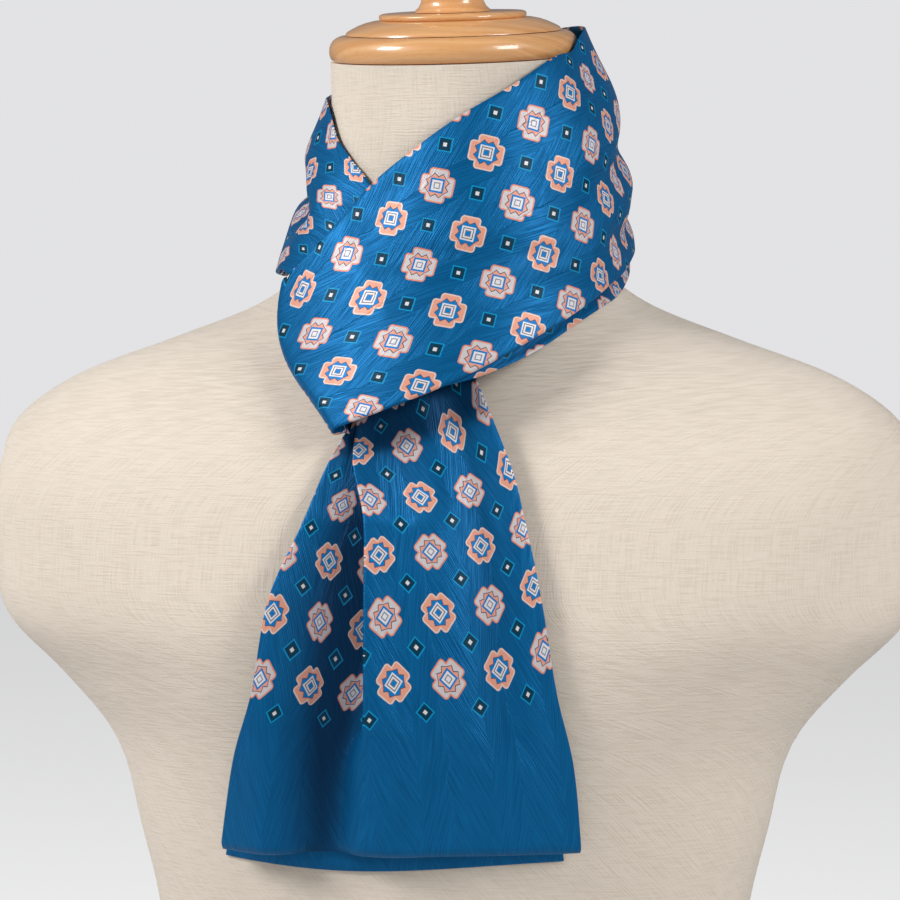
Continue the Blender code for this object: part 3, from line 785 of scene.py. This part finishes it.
def make_foulard():
    """Group: the printed repeat. Two colourings of a four-lobed medallion in turn on a square
    grid, and a small square between every four; a plain border at the strip's end."""
    group, given, result = new_group(
        "foulard_print",
        [("Across", "NodeSocketFloat", 0.0), ("Along", "NodeSocketFloat", 0.0),
         ("Ground", "NodeSocketColor", (0.006, 0.105, 0.29, 1))],
        [("Color", "NodeSocketColor"), ("Printed", "NodeSocketFloat")],
    )
    ground = given.outputs["Ground"]
    salmon, cream = (0.74, 0.26, 0.16, 1), (0.78, 0.56, 0.47, 1)
    peach, ivory = (0.76, 0.34, 0.24, 1), (0.60, 0.56, 0.57, 1)
    azure, white = (0.0, 0.19, 0.53, 1), (0.74, 0.71, 0.71, 1)
    line, slate = (0.10, 0.07, 0.11, 1), (0.16, 0.18, 0.26, 1)
    teal, cyan = (0.0, 0.040, 0.080, 1), (0.0, 0.27, 0.55, 1)
    from_first = calc(group, "SUBTRACT", given.outputs["Across"], FIRST_COLUMN)
    x = calc(group, "DIVIDE", from_first, PRINT_PITCH)
    y = calc(group, "DIVIDE", given.outputs["Along"], PRINT_PITCH)
    column, row = calc(group, "ROUND", x), calc(group, "ROUND", y)
    from_x = calc(group, "MULTIPLY", calc(group, "SUBTRACT", x, column), PRINT_PITCH)
    from_y = calc(group, "MULTIPLY", calc(group, "SUBTRACT", y, row), PRINT_PITCH)
    far, near = motif_axes(group, from_x, from_y)
    odd = calc(group, "MODULO", calc(group, "ADD", calc(group, "ADD", column, row), 100.0), 2.0)
    # The medallion's outline is a distance from two crossed arms with rounded ends
    past_side = calc(group, "SUBTRACT", near, ARM_SIDE)
    past_end = calc(group, "SUBTRACT", far, ARM_END)
    beside, ahead = (calc(group, "MAXIMUM", past, 0.0) for past in (past_side, past_end))
    corner = calc(group, "SQRT", calc(group, "ADD", calc(group, "POWER", beside, 2.0),
                                      calc(group, "POWER", ahead, 2.0)))
    inward = calc(group, "MINIMUM", 0.0, calc(group, "MAXIMUM", past_side, past_end))
    cross = calc(group, "SUBTRACT", calc(group, "ADD", corner, inward), ARM_ROUND)
    valley = calc(group, "MULTIPLY", calc(group, "SUBTRACT", STAR_VALLEY, near), 0.75)
    flank = calc(group, "MULTIPLY", calc(group, "SUBTRACT", near, STAR_VALLEY), 1.2)
    zigzag = calc(group, "ADD", far, calc(group, "MAXIMUM", valley, flank))
    star = calc(group, "SUBTRACT", zigzag, STAR_REACH)
    medallion = within(group, cross)
    body = within(group, cross, -BORDER)
    star_fill = both(group, within(group, star), body)
    star_line = both(group, within(group, calc(group, "ABSOLUTE", star), STAR_LINE), body)
    pale = paint_all(
        group, ground, (medallion, salmon), (body, ivory), (star_fill, peach), (star_line, line),
        (within(group, far, 3.75), azure), (within(group, far, 2.75), white),
        (ring(group, far, 1.65, 1.15), slate))
    warm = paint_all(
        group, ground, (medallion, cream), (body, peach), (star_fill, azure), (star_line, line),
        (within(group, far, 3.6), white), (ring(group, far, 2.8, 2.35), line),
        (ring(group, far, 1.5, 1.1), line), (within(group, far, 1.15), azure))
    # Both kinds of motif start after the plain border
    before = calc(group, "SUBTRACT", 0.0, y)
    medallion_rows, square_rows = (within(group, before, rows, 0.01) for rows in (0.5, 1.0))
    square, _ = motif_axes(group, from_halfway(group, x), from_halfway(group, y))
    rim, field, dot, whole = (both(group, mask, square_rows) for mask in (
        ring(group, square, SQUARE_RIM, SQUARE_FIELD), within(group, square, SQUARE_FIELD),
        within(group, square, SQUARE_DOT), within(group, square, SQUARE_RIM)))
    medallions = paint(group, odd, pale, warm)
    colour = paint_all(group, ground, (medallion_rows, medallions),
                       (rim, cyan), (field, teal), (dot, white))
    printed = calc(group, "MAXIMUM", both(group, medallion, medallion_rows), whole)
    group.links.new(colour, result.inputs["Color"])
    group.links.new(printed, result.inputs["Printed"])
    return group


STRIPE_PITCH, WIDE_STRIPE = 38.0, 23.0  # mm; the strokes slant the other way between
WIDE_SLOPE, NARROW_SLOPE = 0.48, -0.24


def make_brushed():
    """Group: the ground's woven relief, brush strokes that slant one way and the other in
    stripes down the strip. Puts out a height, and a tone of random clumps with painted sheen
    that is lighter where a stroke stands proud."""
    group, given, result = new_group(
        "brushed_ground",
        [("Across", "NodeSocketFloat", 0.0), ("Along", "NodeSocketFloat", 0.0)],
        [("Height", "NodeSocketFloat"), ("Tint", "NodeSocketFloat")],
    )
    across, along = given.outputs["Across"], given.outputs["Along"]
    sway = streaks(group, across, along, 60.0, 30.0, 2.0, 4.0)
    place = calc(group, "MULTIPLY_ADD", sway, 16.0, calc(group, "ADD", across, 400.0))
    stripe = calc(group, "FLOOR", calc(group, "DIVIDE", place, STRIPE_PITCH))
    wide = within(group, calc(group, "MODULO", place, STRIPE_PITCH), WIDE_STRIPE, 0.5)
    slope = calc(group, "MULTIPLY_ADD", wide, WIDE_SLOPE - NARROW_SLOPE, NARROW_SLOPE)
    wobble = streaks(group, across, along, 30.0, 24.0, 1.0, 8.0)
    leaning = calc(group, "MULTIPLY_ADD", calc(group, "MULTIPLY", slope, -1.0), along, across)
    leaning = calc(group, "MULTIPLY_ADD", wobble, 1.8, leaning)
    seed = calc(group, "MULTIPLY_ADD", calc(group, "ADD", stripe, wide), 17.3, 21.0)
    coarse = streaks(group, leaning, along, 0.55, 20.0, 0.0, seed)
    coarse = calc(group, "MULTIPLY_ADD", coarse, 2.6, -0.8, clamp=True)
    fine = streaks(group, leaning, along, 0.3, 12.0, 0.0, calc(group, "ADD", seed, 3.0))
    clumps = streaks(group, leaning, along, 5.0, 34.0, 1.0, calc(group, "ADD", seed, 6.0))
    height = calc(group, "MULTIPLY_ADD", fine, 0.6, coarse)
    # Partly painted sheen: the tone is lighter where the strokes stand proud; the clumps are
    # random tone
    stroke_tone_and_sheen = calc(group, "MULTIPLY_ADD", clumps, 0.35, calc(group, "MULTIPLY", height, 0.5))
    group.links.new(height, result.inputs["Height"])
    group.links.new(stroke_tone_and_sheen, result.inputs["Tint"])
    return group


FOULARD = make_foulard()
BRUSHED = make_brushed()


def make_satin():
    """Blue satin: a soft broad gloss, the brushed relief of its ground with painted sheen on
    its strokes, the print, and painted shade in each fold and under the band's edge.
    """
    look, tree, shader = new_material(
        "printed_satin", (0.0, 0.10, 0.28), 0.45, Specular_IOR_Level=0.15)
    across, along = cloth_place(tree)
    on_strip = {"Across": across, "Along": along}
    brushed = add_node(tree, "ShaderNodeGroup", on_strip, node_tree=BRUSHED)
    # The ground's lighter and darker blue: painted sheen on the strokes, and random clumps
    stroke_tone_and_sheen = calc(tree, "MULTIPLY_ADD", brushed.outputs["Tint"], 1.1, -0.15, clamp=True)
    ground = paint(tree, stroke_tone_and_sheen, (0.0, 0.09, 0.245, 1), (0.002, 0.148, 0.375, 1))
    foulard = add_node(tree, "ShaderNodeGroup", {**on_strip, "Ground": ground}, node_tree=FOULARD)
    printed = foulard.outputs["Printed"]
    # Painted shade: the colour turns to a deep blue in a fold and under the band's edge, and the
    # print gets half as much of it; the print is also flatter and less glossy than the ground
    fold = add_node(tree, "ShaderNodeAttribute", attribute_name="painted_fold_shade")
    painted_shade_strength = calc(tree, "MULTIPLY_ADD", printed, -0.5 * FOLD_SHADE, FOLD_SHADE)
    shade = calc(tree, "MULTIPLY", fold.outputs["Fac"], painted_shade_strength)
    colour = paint(tree, shade, foulard.outputs["Color"], (0.0, 0.012, 0.045, 1))
    tree.links.new(colour, shader.inputs["Base Color"])
    sheen = calc(tree, "MULTIPLY_ADD", printed, -0.26, 0.4)
    tree.links.new(sheen, shader.inputs["Metallic"])
    stands = calc(tree, "MULTIPLY_ADD", printed, -0.55, 1.0)
    relief = calc(tree, "MULTIPLY", brushed.outputs["Height"], stands)
    add_relief(tree, shader, relief, 0.3, 0.45)
    return look


satin = make_satin()
hem_rows = np.linspace(0, HEM_ROLL, HEM_ROWS + 1)[:-1]
rows = int(STATION["left_fold"] * ROWS_PER_STATION)
stations = np.concatenate([hem_rows, np.linspace(HEM_ROLL, STATION["left_fold"], rows)])
middle, outward, across_way, layers, printed, painted_shade = scarf_grid(stations)
ahead, behind = (scarf_grid(stations + step)[0] for step in (STATION_STEP, -STATION_STEP))
faces_out = unit(np.cross(ahead - behind, np.gradient(middle, axis=1)))
turned, turned_out, turned_print = left_turn(
    middle[-1], faces_out[-1], outward[-1], across_way[-1], layers, printed[-1])
# The painted shade of the band's last row carries on round its turned-under end
scarf = add_cloth(
    "scarf", np.concatenate([middle, turned]), np.concatenate([faces_out, turned_out]),
    np.concatenate([printed, turned_print]), satin,
    np.concatenate([painted_shade, np.tile(painted_shade[-1], (TURN_ROWS, 1))]))
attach(scarf, "root")
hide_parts("tail_front", "neck_left", "neck_back", "front_band")

# ---------------------------------------------------------------------------
# The back tail: the strip's other end, which leaves the turned-under end of the band, passes
# behind the crossing and lies on the chest behind the front tail. Its hem shows below.

TAIL_BACK = table(
    "right_wound right_drop left_wound left_drop lift",
    (46.0, 112, 21, 187, 0),
    (33, 110, 21, 191, 1),
    (12, 116, 17.5, 196, 1),
    (-6, 136, 16.5, 201, 1),
    (-14, 170, 19.5, 207, 1),
    (-19, 205, 26, 217, 1),
    (-25, 260, 30, 262, 0.9),
    (-28, 320, 36.5, 320, 0.9),
    (-30, 360, 42, 361, 0.9),
    (-33, 399.5, 47.5, 402.5, 1.0),
)
BACK_HEM_DIP = 4.5  # mm that the hem hangs lower between its corners
TAIL_BACK_STEPS = 10  # to each row of the table
TAIL_BACK_COLUMNS = 48
TAIL_BACK_SETTLES = 1.2  # rows of the table before it lies on the body


def add_back_tail(band_end, look):
    """The back tail, from the band's turned-under end down the body to the hem."""
    share = np.linspace(0, 1, TAIL_BACK_COLUMNS + 1)
    keys = np.arange(len(TAIL_BACK["lift"]))
    at = np.linspace(0, keys[-1], keys[-1] * TAIL_BACK_STEPS + 1)[:, None]
    edges = {name: smooth(keys, TAIL_BACK[name], at) for name in TAIL_BACK}
    wound = edges["right_wound"] * (1 - share) + edges["left_wound"] * share
    drop = edges["right_drop"] * (1 - share) + edges["left_drop"] * share
    near_hem = np.clip(at - keys[-2], 0, 1) ** 2
    drop = drop + BACK_HEM_DIP * near_hem * np.sin(math.pi * share**1.4)
    middle = polar(wound, form_out(wound, drop) + edges["lift"], drop)
    before = np.linspace(0, 1, len(band_end))
    start = np.stack([np.interp(share, before, band_end[:, axis]) for axis in range(3)], -1)
    settled = np.clip(at / TAIL_BACK_SETTLES, 0, 1)[..., None]
    middle += (1 - settled) ** 2 * (1 + 2 * settled) * (start - middle[0])
    middle[0] += unit(middle[1] - middle[0]) * (SEAM + WALL)
    steps = np.linalg.norm(np.diff(middle[:, len(share) // 2], axis=0), axis=1)
    from_hem = np.cumsum(steps[::-1])[::-1]
    from_hem = np.concatenate([from_hem, [0]])[:, None] - HEM_TO_PRINT * PRINT_PITCH
    widths = np.linalg.norm(middle[:, -1] - middle[:, 0], axis=-1)[:, None]
    printed = np.stack([share * widths, from_hem + 0 * share], -1)
    middle, printed = middle[:, ::-1], printed[:, ::-1]
    faces_out = unit(np.cross(np.gradient(middle, axis=0), np.gradient(middle, axis=1)))
    made = add_cloth("back_tail", middle, faces_out, printed, look, 0 * printed[..., 0])
    return made, float(steps.sum()) * MM


back_tail, back_length = add_back_tail(turned[-1][: FACE_COLUMNS + 1], satin)
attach(back_tail, "root")
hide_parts("tail_back")

# ---------------------------------------------------------------------------
# The studio: a pale floor, one large soft light from the upper left, a weaker one from the
# right, and the camera where the photographer stood.

FLOOR_RADIUS, FLOOR_SIDES = 6000, 64
FLOOR_UNDER = 0.2  # mm below the form's base

floor_look, floor_tree, floor_shader = new_material("studio_floor", (0.6, 0.6, 0.6), 0.9)
speck = add_node(floor_tree, "ShaderNodeTexNoise", {"Scale": 3.0, "Detail": 3.0})
floor_colour = paint(
    floor_tree, speck.outputs["Fac"], (0.59, 0.59, 0.595, 1), (0.62, 0.62, 0.625, 1))
floor_tree.links.new(floor_colour, floor_shader.inputs["Base Color"])
floor_seen = add_node(floor_tree, "ShaderNodeLightPath")
floor_glow = calc(floor_tree, "MULTIPLY", floor_seen.outputs["Is Camera Ray"], 0.5)
floor_shader.inputs["Emission Color"].default_value = (1, 1, 1, 1)
floor_tree.links.new(floor_glow, floor_shader.inputs["Emission Strength"])
turn = np.linspace(0, 2 * math.pi, FLOOR_SIDES, endpoint=False)
floor_points = [
    (FLOOR_RADIUS * math.cos(a), FLOOR_RADIUS * math.sin(a), -FLOOR_UNDER) for a in turn]
floor = add_piece("studio_floor", floor_points, [tuple(range(FLOOR_SIDES))], floor_look)

world = bpy.data.worlds.new("studio_air")
world.use_nodes = True
air = world.node_tree
backdrop = air.nodes["Background"]
backdrop.inputs["Color"].default_value = (0.765, 0.765, 0.78, 1)
ambient = add_node(air, "ShaderNodeBackground", {"Color": (0.95, 0.96, 1.0, 1), "Strength": 0.2})
seen = add_node(air, "ShaderNodeLightPath")
blend = add_node(air, "ShaderNodeMixShader",
                 {0: seen.outputs["Is Camera Ray"], 1: ambient.outputs[0], 2: backdrop.outputs[0]})
air.links.new(blend.outputs[0], air.nodes["World Output"].inputs["Surface"])
bpy.context.scene.world = world
bpy.context.scene.view_settings.view_transform = "Standard"


def add_light(name, place, aim, size, power):
    """A square soft light: its place, the point it faces and its size in metres, and watts."""
    data = bpy.data.lights.new(name, "AREA")
    data.shape, data.size, data.energy = "SQUARE", size, power
    made = bpy.data.objects.new(name, data)
    made.location = place
    made.rotation_euler = (Vector(aim) - Vector(place)).to_track_quat("-Z", "Y").to_euler()
    bpy.context.scene.collection.objects.link(made)


add_light("key_softbox", (-1.75, -1.1, 1.86), (0, 0, 0.46), 0.8, 47.5)
add_light("fill_softbox", (1.8, -1.1, 1.5), (0, 0, 0.48), 0.8, 31)

camera_data = bpy.data.cameras.new("camera")
camera_data.sensor_width, camera_data.lens = 36.0, 153.84
camera = bpy.data.objects.new("camera", camera_data)
camera.location = (0.2763, -1.9808, 0.579)
camera.rotation_euler = (math.radians(86.5), 0, math.radians(8))
bpy.context.scene.collection.objects.link(camera)
bpy.context.scene.camera = camera
